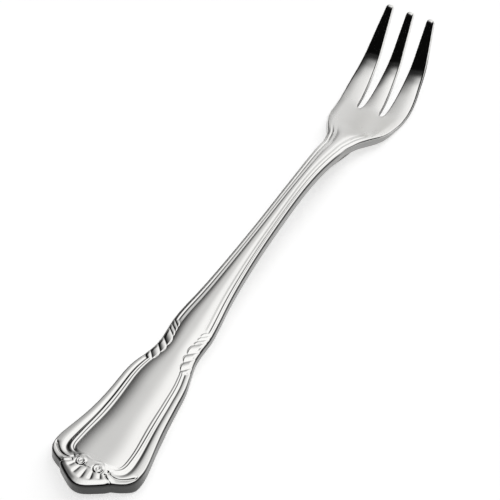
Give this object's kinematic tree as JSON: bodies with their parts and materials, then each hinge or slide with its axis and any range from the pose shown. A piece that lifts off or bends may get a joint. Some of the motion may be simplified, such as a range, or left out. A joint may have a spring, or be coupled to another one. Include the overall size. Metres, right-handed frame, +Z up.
{
  "type": "oyster fork",
  "caption": "Short table fork for oysters and cocktails: fiddle handle with a shell end and threaded borders, arched shank, dished head with upswept tines.",
  "frame": {"origin": "centre of the footprint, on the table plane the fork rests on", "axes": "+X runs along the fork from the shell end of the handle to the tine tips, +Z is up with the tines pointing up, +Y completes the frame across the fork"},
  "size_m": [0.146, 0.0204, 0.0173],
  "materials": {
    "steel": "polished stainless steel with a finer satin sheen in the handle panel"
  },
  "bodies": {
    "root": {"fork": "steel"}
  },
  "joints": []
}
